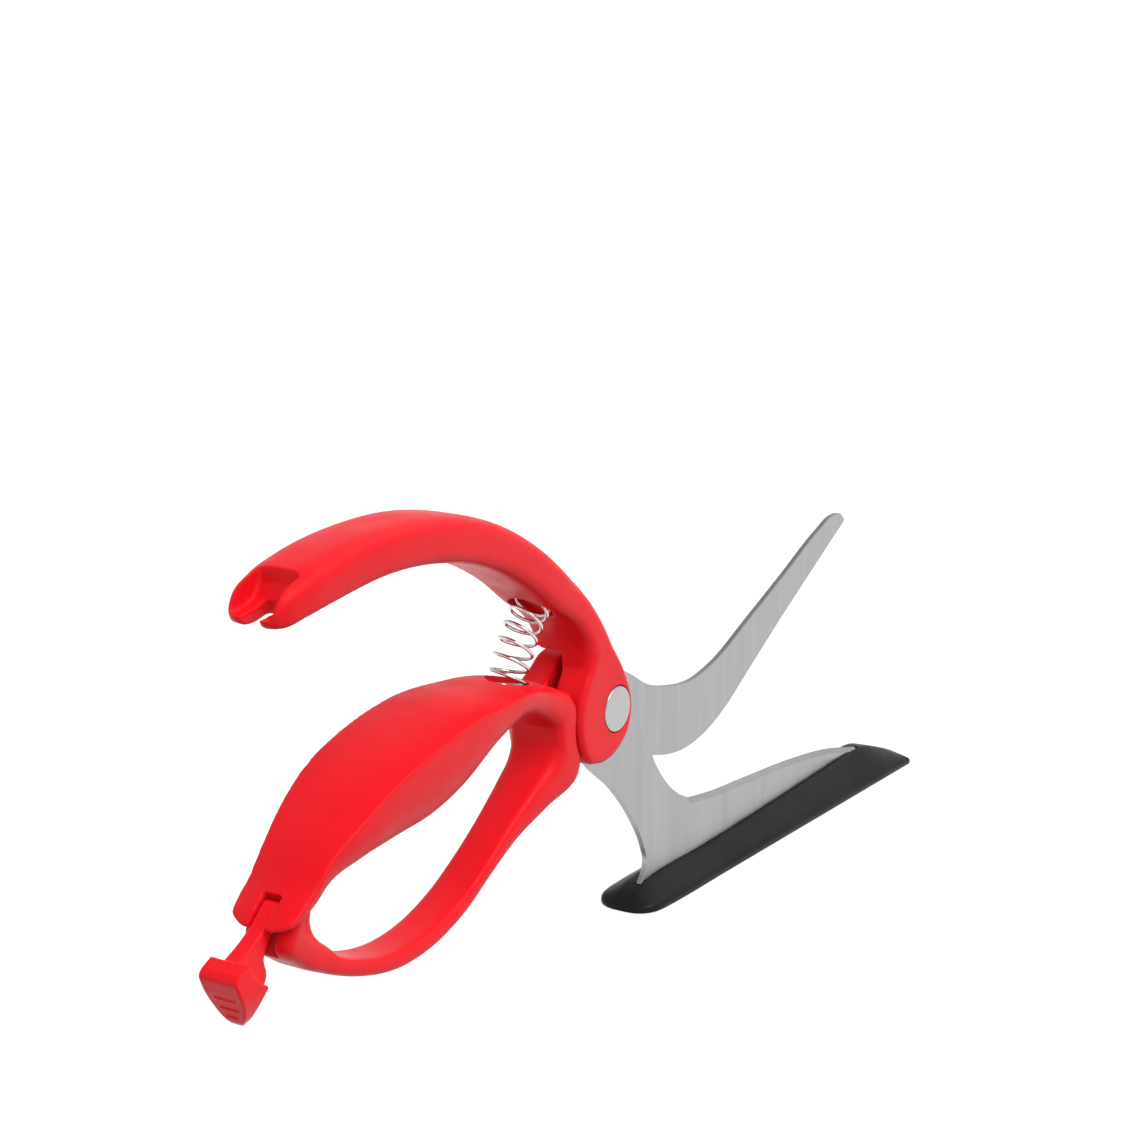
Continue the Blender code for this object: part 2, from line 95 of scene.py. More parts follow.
LATCH_PIN_R = 1.0
PIN_HOLE_HALF = 5.8  # the pin's blind hole in the lower handle
LATCH_BORE_HALF = 6.0
LATCH_EYE_R = 1.8  # the strap's round end, about the pin
STRAP_HALF = 2.1
SLOT_SPARE = 0.5  # extra room on the near side of the strap's slot in the arch's tip
LATCH_HEAD_HALF = 5.25
HOOK_R = 15.55  # the hook's inner face, about the pin
RIDGE_R = 0.36
RIDGES = [(-139.15, -29.2, 2.7), (-137.95, -31.7, 2.4), (-136.85, -33.9, 1.5)]  # x, z and half length

SPRING_LOW = Vector((-35.0, 0.0, 13.5))
SPRING_HIGH = Vector((-25.5, 0.0, 29.3))
SPRING_R = 4.4
SPRING_TURNS = 8
FLAT_RISE = 0.045  # share of the spring's length that the flat turn at each end takes
WIRE_R = 0.45
WIRE_SIDES = 14
POINTS_PER_TURN = 40
POCKET_R = 5.5
POCKET_DEPTH = 3.5
POCKET_REACH = 8.0  # how far a pocket's cutter stands out of its mouth

SLED_CREST_HALF = 2.6  # half the flat crest that the blade comes out of
SLOPE_STEPS = 8
SLOPE_POWER = 0.88  # below 1, so the slope from the rim to the crest is slightly rounded

# Rounding of edges.
MOUTH_ROUND = 1.0
NEAR_LOBE_ROUND = 1.5
FAR_LOBE_ROUND = 1.2
REAR_WEB_ROUND = 2.2
FRONT_WEB_ROUND = 2.4
STRAP_ROUND = 0.7
LATCH_HEAD_ROUND = 0.45
BLADE_ROUND = 0.1

# Half widths of the two webs that close the finger loop's ends.
REAR_WEB_HALF = 5.4
FRONT_WEB_HALF = 8.0

# How fine the meshes are.
COARSE_VOXEL = 0.42  # moulded bars are merged at this size, then cut and merged again finer
FINE_VOXEL = 0.34
LATCH_VOXEL = 0.13
HANDLE_SMOOTHING = 4  # rounds of smoothing after the last merge
LATCH_SMOOTHING = 9
SMOOTHING_STEPS = (0.62, -0.58)  # each round moves points in, then back out, so nothing shrinks
OUTLINE_STEPS = 10  # steps between two drawn points of a blade's outline
LATCH_STEPS = 3  # steps between two drawn points of the latch's outlines
TURNED_SIDES = 128
LAP_SIDES = 160
PIN_SIDES = 48
RIDGE_SIDES = 24

# --- stations and outlines -----------------------------------------------------------------------

# Stations along a moulded bar: top x, top z, bottom x, bottom z, half width, height of the widest level.
ARCH = [
    (-128.5, 50.2, -127.7, 48.6, 4.2, 0.4),
    (-127.8, 51.9, -126.6, 47.9, 5.9, 0.4),
    (-125.6, 54.9, -124.2, 47.5, 7.4, 0.4),
    (-119.3, 57.8, -118.0, 48.6, 8.7, 0.45),
    (-110.0, 60.2, -108.5, 49.9, 9.0, 0.5),
    (-92.0, 62.3, -91.0, 51.7, 9.0, 0.5),
    (-70.0, 61.5, -71.5, 50.5, 9.0, 0.5),
    (-49.5, 56.3, -54.0, 46.2, 9.0, 0.5),
    (-29.2, 45.6, -35.5, 37.0, 9.0, 0.5),
    (-19.2, 37.8, -26.0, 30.2, 9.0, 0.5),
    (-9.7, 29.0, -17.0, 24.5, 9.0, 0.5),
    (-3.0, 20.6, -12.5, 18.6, 9.0, 0.5),
    (2.5, 12.0, -11.5, 11.0, 9.0, 0.5),
]
LEAF = [
    (-128.9, -16.3, -128.5, -17.5, 4.4, 0.7),
    (-127.3, -14.8, -126.2, -17.2, 7.8, 0.7),
    (-124.6, -12.5, -122.2, -16.6, 8.8, 0.75),
    (-120.8, -9.6, -117.8, -15.2, 9.1, 0.8),
    (-114.5, -4.0, -112.0, -11.6, 9.8, 0.88),
    (-104.5, 2.6, -101.0, -9.2, 11.8, 0.93),
    (-94.0, 7.8, -89.0, -7.9, 13.0, 0.95),
    (-78.0, 12.5, -75.0, -6.6, 13.5, 0.95),
    (-62.0, 15.2, -64.0, -3.2, 13.2, 0.94),
    (-48.0, 15.4, -51.0, 3.8, 12.0, 0.9),
    (-35.5, 14.8, -39.0, 7.2, 10.3, 0.8),
    (-28.0, 12.7, -30.0, 4.6, 8.8, 0.68),
    (-20.5, 9.5, -23.0, 0.0, 8.2, 0.6),
]
BAND = [
    (-118.0, -13.5, -123.8, -17.5, 7.0, 0.5),
    (-119.5, -17.0, -125.6, -22.0, 6.6, 0.5),
    (-115.2, -22.8, -119.5, -27.8, 5.8, 0.5),
    (-108.0, -28.5, -111.0, -32.4, 5.4, 0.5),
    (-98.4, -32.9, -100.0, -36.9, 5.4, 0.5),
    (-85.0, -35.6, -85.0, -40.1, 5.4, 0.5),
    (-74.0, -34.9, -73.0, -39.3, 5.4, 0.5),
    (-62.0, -31.3, -60.0, -35.2, 5.4, 0.5),
    (-50.7, -25.3, -48.8, -28.9, 5.4, 0.5),
    (-40.0, -18.0, -38.0, -23.4, 5.6, 0.5),
    (-30.4, -11.4, -27.0, -19.0, 6.7, 0.45),
    (-25.4, -7.2, -14.0, -13.6, 7.8, 0.4),
    (-23.4, -3.0, -13.5, -5.0, 8.1, 0.4),
    (-23.8, 1.6, -14.5, 2.5, 8.2, 0.4),
    (-27.0, 5.6, -19.2, 8.4, 8.2, 0.45),
]

# How the section of a bar bends on its way from the widest level to the middle of the top or bottom:
# the powers of its width and of its rise, at the first station and at the last one. Powers below 1 are
# boxy, and 1 with 2 is a flat dome that leaves a crest along the side.
ARCH_BACK = (0.72, 0.72), (0.42, 0.42)
ARCH_INSIDE = (0.4, 0.5), (0.4, 0.5)
LEAF_CROWN = (1.0, 2.0), (0.55, 0.65)
LEAF_BELLY = (0.62, 0.8), (0.5, 0.6)
BAND_SIDE = (0.42, 0.5), (0.42, 0.5)
LEAF_CREST_RUN = 4.0  # how long the leaf's crest stays crisp before its section turns boxy
NEAR_NARROWING = 0.16  # how much narrower the leaf is on the near side, half way along
LEAF_LEAN = 0.1  # rise of the leaf towards the far side, per millimetre across it

# The block that joins the leaf's and the band's front ends, round the front of the finger loop.
FRONT_WEB = [
    (-31.0, 12.0), (-24.0, 10.8), (-18.5, 8.4), (-13.2, 2.0), (-12.9, -3.0), (-14.5, -7.0),
    (-19.5, -8.5), (-23.7, -6.0), (-23.4, -3.2), (-23.8, 0.8), (-26.0, 4.4), (-30.0, 6.8),
]

# The sled: x, height of the side rim, height of the ridge beside the blade, half width.
SLED = [
    (16.2, 0.8, 1.1, 2.6),
    (16.6, 1.2, 1.8, 4.6),
    (17.8, 1.6, 2.8, 6.6),
    (20.0, 1.9, 4.1, 8.1),
    (23.5, 2.0, 5.2, 8.85),
    (27.0, 2.0, 5.7, 9.0),
    (57.0, 2.0, 6.3, 9.0),
    (97.0, 2.0, 7.7, 9.0),
    (127.0, 2.0, 9.0, 9.0),
    (142.0, 2.0, 9.7, 9.0),
    (148.0, 2.0, 9.6, 9.0),
    (152.0, 2.0, 9.0, 9.0),
    (157.0, 2.0, 7.5, 9.0),
    (161.0, 2.0, 6.2, 9.0),
    (166.0, 1.9, 4.4, 9.0),
    (169.2, 1.6, 2.9, 8.8),
    (170.0, 1.0, 1.8, 8.0),
]

# --- looks ---------------------------------------------------------------------------------------

WARM_TINT = (1.0, 0.5, 0.45)  # tint of the red plastic's highlights
NEUTRAL_TINT = (1.0, 1.0, 1.0)
PLASTIC_IOR = 1.46

# How a grain is stretched along X, Y and Z, how many grains there are to a metre, and how deep they are.
EVEN = (1, 1, 1)
UPRIGHT = (1, 1, 0.04)
DRIFT_SCALE = 45.0  # slow drift of the plastic's colour
POLISH_SCALE = 160.0  # uneven polish
TEXTURE_SCALE = 2600.0  # the mould's texture
TEXTURE_DEPTH = 0.0001
STREAK_SCALE = 900.0  # fine streaks of brushed steel, and the lathe's rings on the rivet
BROAD_SCALE = 300.0  # broad streaks of brushed steel
STREAK_DEPTH = 0.00004
MIX_SOCKETS = {"FLOAT": (2, 3, 0), "RGBA": (6, 7, 2)}  # a Mix node's inputs A and B and its output, by kind

FLOOR_SIZE = 60.0
FLOOR_DROP = 0.0004  # in metres, so that the floor and the sled's sole don't share a plane
# Height of a direction in the studio, as the sine of its elevation, and how bright the studio is there.
SKY_LEVELS = [(-1.0, 0.22), (-0.4, 0.3), (-0.08, 0.55), (0.2, 0.85), (0.5, 0.66), (1.0, 0.34)]

CAMERA_AT = (-519.84, -331.52, 183.98)
CAMERA_AZIMUTH = 56.9  # from +Y towards +X
CAMERA_ELEVATION = 13.5
FOCAL_LENGTH = 83.0
SENSOR_WIDTH = 36.0


# --- placing and outlines ------------------------------------------------------------------------


def place(point):
    """A point about the rivet, in millimetres, as a point of the frame in metres."""
    return PIVOT + Vector(point) * MM


def smooth(points, steps=5):
    """Points along a smooth curve through the given points, both ends included.

    The given points may be unevenly spaced: the curve is a Hermite spline over the lengths between them.
    """
    rows = np.array(points, float)
    gaps = np.linalg.norm(np.diff(rows, axis=0), axis=1)[:, None]
    slopes = np.diff(rows, axis=0) / gaps
    middle = (slopes[:-1] * gaps[1:] + slopes[1:] * gaps[:-1]) / (gaps[:-1] + gaps[1:])
    tangents = np.vstack([slopes[:1], middle, slopes[-1:]])
    curve = []
    for k, gap in enumerate(gaps):
        for t in np.arange(steps) / steps:
            near, far = (1 + 2 * t) * (1 - t) ** 2, t * t * (3 - 2 * t)
            leave, enter = t * (1 - t) ** 2, t * t * (t - 1)
            point = near * rows[k] + far * rows[k + 1]
            curve.append(point + gap * (leave * tangents[k] + enter * tangents[k + 1]))
    return curve + [rows[-1]]


def arc(radius, start, end, centre=(0.0, 0.0), steps=24):
    """Points of an arc between two angles, in degrees from +X towards +Z."""
    angles = np.radians(np.linspace(start, end, steps + 1))
    return [(centre[0] + radius * math.cos(a), centre[1] + radius * math.sin(a)) for a in angles]


def add_object(name, mesh):
    piece = bpy.data.objects.new(name, mesh)
    bpy.context.scene.collection.objects.link(piece)
    return piece


def solid(name, rings):
    """A closed surface through rings of equal length, each a loop of points about the rivet."""
    mesh = bpy.data.meshes.new(name)
    shape = bmesh.new()
    loops = [[shape.verts.new(place(p)) for p in ring] for ring in rings]
    for first, second in zip(loops, loops[1:]):
        for k in range(len(first)):
            after = (k + 1) % len(first)
            shape.faces.new((first[k], first[after], second[after], second[k]))
    shape.faces.new(loops[0])
    shape.faces.new(loops[-1])
    bmesh.ops.recalc_face_normals(shape, faces=shape.faces)
    shape.to_mesh(mesh)
    shape.free()
    return add_object(name, mesh)


def slab(name, outline, low_y, high_y):
    """A flat solid: an outline in X and Z carried from one depth to another."""
    near = [(x, low_y, z) for x, z in outline]
    far = [(x, high_y, z) for x, z in outline]
    return solid(name, [near, far])


def circle(centre, radius, side, up, count):
    """A ring of points round a centre, in the plane of two directions."""
    angles = [2 * math.pi * k / count for k in range(count)]
    return [centre + radius * (math.cos(a) * side + math.sin(a) * up) for a in angles]


def rod(name, radius, start, end, sides=96):
    """A round bar between two points."""
    axis = (Vector(end) - Vector(start)).normalized()
    side = axis.orthogonal().normalized()
    up = axis.cross(side)
    return solid(name, [circle(Vector(centre), radius, side, up, sides) for centre in (start, end)])


def section(station, upper, lower, sides):
    """One closed section of a bar, between the top and bottom points of a station."""
    top = np.array([station[0], 0.0, station[1]])
    bottom = np.array([station[2], 0.0, station[3]])
    half, level = station[4], station[5]
    waist = bottom + level * (top - bottom)
    points = []
    for k in range(sides):
        angle = 2 * math.pi * (k + 0.5) / sides
        width, rise = upper if math.sin(angle) > 0 else lower
        goal = top if math.sin(angle) > 0 else bottom
        across = math.copysign(abs(math.cos(angle)) ** width, math.cos(angle))
        points.append(waist + abs(math.sin(angle)) ** rise * (goal - waist) + (0.0, half * across, 0.0))
    return points


def mix(first, second, share):
    return tuple(a + share * (b - a) for a, b in zip(first, second))


def bar(name, stations, upper, lower, sides=72, steps=10, hold=1.0):
    """A bar through its stations; its section powers change from the first to the last of each pair."""
    curve = smooth(stations, steps)
    rings = []
    for k, station in enumerate(curve):
        share = (k / (len(curve) - 1)) ** hold
        rings.append(section(station, mix(*upper, share), mix(*lower, share), sides))
    return solid(name, rings)


# --- mesh work -----------------------------------------------------------------------------------


def bake(piece):
    """Apply every modifier of a piece."""
    evaluated = piece.evaluated_get(bpy.context.evaluated_depsgraph_get())
    mesh = bpy.data.meshes.new_from_object(evaluated)
    old = piece.data
    piece.modifiers.clear()
    piece.data = mesh
    bpy.data.meshes.remove(old)
    mesh.name = piece.name
    return piece


def discard(*pieces):
    for piece in pieces:
        bpy.data.objects.remove(piece, do_unlink=True)


def cut(target, *cutters, operation="DIFFERENCE"):
    """Take the cutters out of a piece, or keep only what it shares with them."""
    for cutter in cutters:
        change = target.modifiers.new(cutter.name, "BOOLEAN")
        change.operation = operation
        change.solver = "MANIFOLD"
        change.object = cutter
    bake(target)
    discard(*cutters)
    return target


def merge(target, *others):
    """One object that holds all these meshes; a voxel remesh afterwards makes them one body."""
    shape = bmesh.new()
    for piece in (target, *others):
        shape.from_mesh(piece.data)
    shape.to_mesh(target.data)
    shape.free()
    discard(*others)
    return target


def remesh(piece, voxel):
    change = piece.modifiers.new("voxels", "REMESH")
    change.mode = "VOXEL"
    change.voxel_size = voxel * MM
    return bake(piece)


def relax(piece, rounds):
    """Soften a dense mesh without shrinking it: rounds of Taubin smoothing."""
    mesh = piece.data
    points = np.empty(len(mesh.vertices) * 3)
    mesh.vertices.foreach_get("co", points)
    points = points.reshape(-1, 3)
    edges = np.empty(len(mesh.edges) * 2, int)
    mesh.edges.foreach_get("vertices", edges)
    first, second = edges.reshape(-1, 2).T
    degree = np.bincount(edges, minlength=len(points))[:, None]
    for strength in SMOOTHING_STEPS * rounds:
        total = np.zeros_like(points)
        for axis in range(3):
            total[:, axis] += np.bincount(first, points[second, axis], len(points))
            total[:, axis] += np.bincount(second, points[first, axis], len(points))
        points += strength * (total / degree - points)
    mesh.vertices.foreach_set("co", points.ravel())
    mesh.update()
    return piece


def bevel(piece, width, segments=3, angle=35):
    """Round the edges where faces turn by more than an angle."""
    change = piece.modifiers.new("rounded edges", "BEVEL")
    change.width = width * MM
    change.segments = segments
    change.limit_method = "ANGLE"
    change.angle_limit = math.radians(angle)
    change.use_clamp_overlap = False
    return bake(piece)


def finish(piece, name, body, material, node, crease=40):
    """Name a finished piece, give it its material and body, and let it stand for its CAD node."""
    piece.name = name
    piece.data.name = name
    piece.data.materials.clear()
    piece.data.materials.append(material)
    piece.data.shade_smooth()
    piece.data.set_sharp_from_angle(angle=math.radians(crease))
    if body:
        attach(piece, body)
    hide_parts(node)
    return piece


# --- handles -------------------------------------------------------------------------------------


def tip_cutters():
    """The mouth in the arch's tip that takes the latch's head, and the slot for the latch's strap."""
    mouth = [(-117.2, 66.0), (-117.8, 55.0), (-119.6, 51.8), (-123.0, 50.5), (-134.0, 49.2), (-134.0, 66.0)]
    slot = [(-117.6, 45.0), (-119.8, 52.0), (-134.0, 52.0), (-134.0, 45.0)]
    head = LATCH_HEAD_HALF + GAP
    strap = STRAP_HALF + GAP
    mouth_cutter = bevel(slab("mouth", mouth, -head, head), MOUTH_ROUND, segments=4)
    return mouth_cutter, slab("strap_slot", slot, -strap - SLOT_SPARE, strap)


def rivet_cutters(low_y, high_y, face_y, depth):
    """The shank's hole between two depths, and a recess for a rivet head in one face."""
    sunk = math.copysign(depth, face_y)
    hole = rod("shank_hole", SHANK_R + GAP / 2, (0, low_y, 0), (0, high_y, 0))
    recess = rod("head_recess", HEAD_R + GAP, (0, face_y + sunk, 0), (0, face_y - sunk, 0), LAP_SIDES)
    return hole, recess


def pin_cutter(name, half):
    """A hole for the latch's pin."""
    reach = Vector((0, half, 0))
    return rod(name, LATCH_PIN_R + GAP / 2, LATCH_AXIS - reach, LATCH_AXIS + reach, PIN_SIDES)


def spring_pocket(name, seat, into):
    """A round hole for one end of the spring, POCKET_DEPTH deep along the spring's own direction there."""
    axis = into * Vector((seat.z, 0.0, -seat.x)).normalized()
    return rod(name, POCKET_R, seat - POCKET_REACH * axis, seat + POCKET_DEPTH * axis)


def lower_tang(margin):
    """The strip of the lower blade that runs up inside the arch, grown by a margin for its pocket."""
    right = smooth([(9.0, 5.0), (1.5, 10.5), (-4.5, 18.5), (-9.5, 25.5 + margin)], steps=6)
    left = smooth([(-13.0 - margin, 23.5 + margin), (-9.5 - margin, 17.0), (-9.5 - margin, 5.0)], steps=6)
    return [(x + margin, z) for x, z in right] + [tuple(p) for p in left]


def upper_tang(margin):
    """The end of the upper blade inside the lower handle, grown by a margin for its pocket."""
    return [
        (-9.0, -10.5 - margin),
        (-22.0 - margin, -11.0 - margin),
        (-22.5 - margin, 4.5 + margin),
        (-11.0, 4.0 + margin),
    ]


def blade_pocket(name, outline, side):
    """Room for one blade, with clearance: side is -1 for the lower blade and 1 for the upper one."""
    low = side * BLADE_FACE - side * GAP
    high = side * (BLADE_FACE + BLADE_THICK + GAP)
    return slab(name, outline, min(low, high), max(low, high))


def near_lobe():
    """The arch's lobe over the near side of the blades."""
    front = smooth([
        (-7.0, 23.0), (-0.8, 15.8), (4.6, 8.0), (7.6, 0.0),
        (5.8, -7.0), (0.6, -11.2), (-5.0, -12.6), (-10.6, -11.8),
    ], steps=8)
    outline = [tuple(p) for p in front] + arc(LAP_R - 2 * GAP, 224, 137) + [(-8.0, 20.0)]
    return bevel(slab("near_lobe", outline, -HANDLE_HALF, 0.0), NEAR_LOBE_ROUND, segments=4)


def upper_handle():
    """The arch and its near lobe, with the mouth in its tip and the far side cut back behind the blades."""
    arch = bar("arch", ARCH, ARCH_BACK, ARCH_INSIDE)
    handle = remesh(merge(arch, near_lobe()), COARSE_VOXEL)
    far_lap = rod("far_lap", FAR_LAP_R, (0, -BLADE_FACE, 0), (0, OUTSIDE, 0), LAP_SIDES)
    shoulder = [(-4.9, 16.0), (-4.9, 18.4), (-8.0, 31.0), (9.0, 31.0), (9.0, 8.0)]
    far_end = slab("far_end", shoulder, -BLADE_FACE, OUTSIDE)
    eye_lap = rod("eye_lap", EYE_LAP_R, (0, -LAP_Y, 0), (0, PAST, 0), LAP_SIDES)
    pocket = spring_pocket("high_pocket", SPRING_HIGH, 1)
    handle = cut(handle, far_lap, far_end, eye_lap, pocket, *tip_cutters())
    handle = relax(remesh(handle, FINE_VOXEL), HANDLE_SMOOTHING)
    tang = blade_pocket("tang_pocket", lower_tang(GAP), -1)
    near = rivet_cutters(-HANDLE_HALF - PAST, PAST - LAP_Y, -HANDLE_HALF, HEAD_THICK)
    return cut(handle, tang, *near)


def rear_web():
    """The rounded rear end of the finger loop, closed behind by a line inside the leaf and the band."""
    hole = smooth([
        (-102.5, -8.2), (-108.0, -10.0), (-112.3, -12.2), (-115.0, -15.2), (-115.8, -18.2),
        (-114.9, -21.2), (-112.8, -23.8), (-109.6, -26.4), (-105.5, -30.2),
    ], steps=6)
    inside = [
        (-110.0, -31.0), (-116.0, -27.4), (-123.0, -20.5),
        (-121.0, -15.0), (-115.0, -8.5), (-106.0, -4.0),
    ]
    web = slab("rear_web", hole + inside, -REAR_WEB_HALF, REAR_WEB_HALF)
    return bevel(web, REAR_WEB_ROUND, segments=5)


def far_lobe():
    """The lower handle's lobe over the far side of the blades: a round eye and the block behind it."""
    crown = [(0.0, 12.6), (-4.0, 14.4), (-8.5, 13.8), (-12.8, 11.0), (-18.0, 8.4), (-24.0, 7.0)]
    crown = [tuple(p) for p in smooth(crown, steps=8)]
    outline = arc(EYE_R, -125, 72, steps=60) + crown + [(-20.0, -13.0), (-12.6, -12.2)]
    return bevel(slab("far_lobe", outline, LAP_Y - PAST, HANDLE_HALF), FAR_LOBE_ROUND, segments=4)


def lean_leaf(leaf):
    """Make the leaf narrower and lower on its near side, most of all half way along."""
    rear, front = LEAF[0][0], LEAF[-1][0]
    for vertex in leaf.data.vertices:
        x, y, z = (vertex.co - PIVOT) / MM
        share = math.sin(math.pi * min(1.0, max(0.0, (x - rear) / (front - rear))))
        if y < 0:
            y *= 1 - NEAR_NARROWING * share
        vertex.co = place((x, y, z + LEAF_LEAN * share * y))


def strap_groove():
    """The groove in the lower handle's rear end that the latch's strap swings in."""
    outline = [
        (-122.9, -2.0), (-122.9, -10.6), (-121.2, -13.0), (-120.4, -16.0), (-121.5, -19.0),
        (-126.0, -30.0), (-136.0, -30.0), (-136.0, -2.0),
    ]
    return slab("strap_groove", outline, -STRAP_HALF - GAP, STRAP_HALF + GAP)


def lower_handle():
    """The leaf and the band round the finger loop, their webs, and the far lobe."""
    leaf = bar("leaf", LEAF, LEAF_CROWN, LEAF_BELLY, hold=LEAF_CREST_RUN)
    lean_leaf(leaf)
    band = bar("band", BAND, BAND_SIDE, BAND_SIDE)
    front_web = slab("front_web", FRONT_WEB, -FRONT_WEB_HALF, FRONT_WEB_HALF)
    bevel(front_web, FRONT_WEB_ROUND, segments=5)
    handle = remesh(merge(leaf, band, far_lobe(), rear_web(), front_web), COARSE_VOXEL)
    near_lap = rod("near_lap", LAP_R + GAP, (0, -OUTSIDE, 0), (0, LAP_Y, 0), LAP_SIDES)
    handle = cut(handle, near_lap, spring_pocket("low_pocket", SPRING_LOW, -1), strap_groove())
    handle = relax(remesh(handle, FINE_VOXEL), HANDLE_SMOOTHING)
    tang = blade_pocket("stub_pocket", upper_tang(GAP), 1)
    recess_depth = HEAD_THICK + WASHER_THICK + SEAT_GAP
    far = rivet_cutters(LAP_Y - PAST, HANDLE_HALF + PAST, HANDLE_HALF, recess_depth)
    return cut(handle, tang, pin_cutter("pin_hole", PIN_HOLE_HALF), *far)


# --- blades and sled -----------------------------------------------------------------------------


def ground_blade(name, outline, low_y, high_y, grinds, outer):
    """Sheet with a hole for the rivet. Each outline point is drawn in on the outer face by its grind."""
    points = np.array(outline)
    along = np.roll(points, -1, 0) - np.roll(points, 1, 0)
    along /= np.linalg.norm(along, axis=1)[:, None]
    area = np.sum(points[:, 0] * np.roll(points[:, 1], -1) - np.roll(points[:, 0], -1) * points[:, 1])
    inward = np.column_stack([-along[:, 1], along[:, 0]]) * math.copysign(1.0, area)
    drawn_in = points + inward * np.array(grinds)[:, None]
    near, far = (drawn_in, points) if outer == "near" else (points, drawn_in)
    rings = [[(x, low_y, z) for x, z in near], [(x, high_y, z) for x, z in far]]
    blade = solid(name, rings)
    hole = rod("hole", SHANK_R + GAP / 2, (0, low_y - PAST, 0), (0, high_y + PAST, 0))
    return bevel(cut(blade, hole), BLADE_ROUND, segments=2, angle=30)


def lower_blade():
    """The near blade, from its tang in the arch down to the foot that the sled is moulded onto."""
    rear = smooth([
        (-9.5, -6.5), (-2.0, -15.5), (10.0, -25.2), (20.0, -36.5),
        (25.0, -44.5), (26.6, -49.5), (25.6, -52.6), (23.8, -54.8),
    ], OUTLINE_STEPS)
    foot = [(25.0, -57.0), (136.0, -57.0), (146.0, -54.5)]
    heel = (50.0, -38.6)
    edge = [(148.0, -50.5), (130.0, -46.3), (110.0, -43.6), (80.0, -41.3), (60.0, -39.9), heel]
    edge = smooth(edge, OUTLINE_STEPS)
    front = [heel, (40.0, -33.5), (32.0, -25.5), (25.0, -14.0), (16.0, -4.0), (10.5, 4.0)]
    front = smooth(front, OUTLINE_STEPS)[1:]
    tang = lower_tang(0.0)
    outline = [*rear, *foot, *edge, *front, *tang]
    grinds = [0.0] * (len(rear) + len(foot))
    grinds += [GRIND] * (len(edge) - 1)
    grinds += [max(0.0, GRIND - GRIND_RUN_OUT * k) for k in range(len(front) + 1)]
    grinds += [0.0] * len(tang)
    return ground_blade("lower", outline, -BLADE_FACE - BLADE_THICK, -BLADE_FACE, grinds, "near")


def upper_grind(x):
    """The upper blade's grind at a place along it: none behind the edge, and none at the tip."""
    edge_rear, rear_run = 30.0, 18.0
    edge_front, front_run = 137.0, 8.0
    return GRIND * max(0.0, min(1.0, (x - edge_rear) / rear_run, (edge_front - x) / front_run))


def upper_blade():
    """The far blade, from the tip back to the eye round the rivet and its tang in the lower handle."""
    tip = (139.0, 20.5)
    spine = smooth([
        (8.0, 8.3), (20.0, 3.0), (30.0, -2.5), (41.0, -5.5), (52.0, -6.6), (62.9, -4.7),
        (83.0, 3.3), (103.0, 11.8), (123.0, 20.5), (131.5, 23.2), (136.5, 22.8), tip,
    ], OUTLINE_STEPS)
    edge = smooth([
        tip, (120.0, 10.0), (100.0, -1.2), (80.0, -13.0), (70.0, -18.8),
        (60.0, -22.8), (48.0, -24.7), (35.0, -23.0), (20.0, -17.0), (8.0, -11.0),
    ], OUTLINE_STEPS)[1:]
    rest = upper_tang(0.0) + arc(EYE_R, 160, 60)
    outline = [*spine, *edge, *rest]
    grinds = [0.0] * len(spine) + [upper_grind(x) for x, z in edge] + [0.0] * len(rest)
    return ground_blade("upper", outline, BLADE_FACE, BLADE_FACE + BLADE_THICK, grinds, "far")


def sled_section(station):
    """Half a section of the runner, mirrored: flat sole, rounded side rim, slope up to the blade."""
    x, rim, ridge, half = station
    inner = min(SLED_CREST_HALF, 0.5 * half)
    side = [
        (half - 0.5, 0.0),
        (half - 0.15, 0.12),
        (half, 0.45),
        (half, rim - 0.5),
        (half - 0.2, rim - 0.1),
    ]
    slope = []
    for k in range(1, SLOPE_STEPS + 1):
        t = k / SLOPE_STEPS
        slope.append((half + t * (inner - half), rim + (ridge - rim) * t ** SLOPE_POWER))
    crest = (inner - 0.8, ridge + 0.05)
    right = side + slope + [crest]
    left = [(-y, z) for y, z in reversed(right)]
    return [(x, y, SLED_BOTTOM + z) for y, z in right + left]


def blade_sled():
    """The runner, with a slot for the lower blade's foot."""
    sled = solid("sled", [sled_section(station) for station in smooth(SLED, steps=8)])
    slot = [
        (23.0, -45.0), (23.2, -56.0), (24.6, -57.4), (136.5, -57.4),
        (146.4, -54.9), (148.3, -50.4), (148.3, -45.0),
    ]
    return cut(sled, blade_pocket("sled_slot", slot, -1))


# --- rivet, spring and latch ---------------------------------------------------------------------


def turned(name, profile):
    """A body of revolution about the rivet's axis, from radius and depth pairs that start and end on it."""
    rings = []
    for radius, y in profile:
        angles = [2 * math.pi * k / TURNED_SIDES for k in range(TURNED_SIDES)]
        rings.append([(radius * math.cos(a), y, radius * math.sin(a)) for a in angles])
    return solid(name, rings)


def head_profile(face, seat, side):
    """A rivet head's flat face with a rounded rim, from the middle of the face to its seat."""
    inner = HEAD_R - HEAD_RIM
    points = [(SMALLEST_RING, face), (inner, face)]
    for degrees in range(15, 91, 15):
        a = math.radians(degrees)
        points.append((inner + HEAD_RIM * math.sin(a), face + side * HEAD_RIM * (1 - math.cos(a))))
    return points + [(HEAD_R, seat)]


def pivot_stud():
    """The near rivet head and the shank through both handles and blades."""
    face = -HANDLE_HALF - SEAT_GAP
    seat = face + HEAD_THICK
    tail = HANDLE_HALF - 0.5 * HEAD_THICK
    shank = [
        (SHANK_R, seat),
        (SHANK_R, tail - SHANK_CHAMFER),
        (SHANK_R - SHANK_CHAMFER, tail),
        (SMALLEST_RING, tail),
    ]
    return turned("stud", head_profile(face, seat, 1.0) + shank)


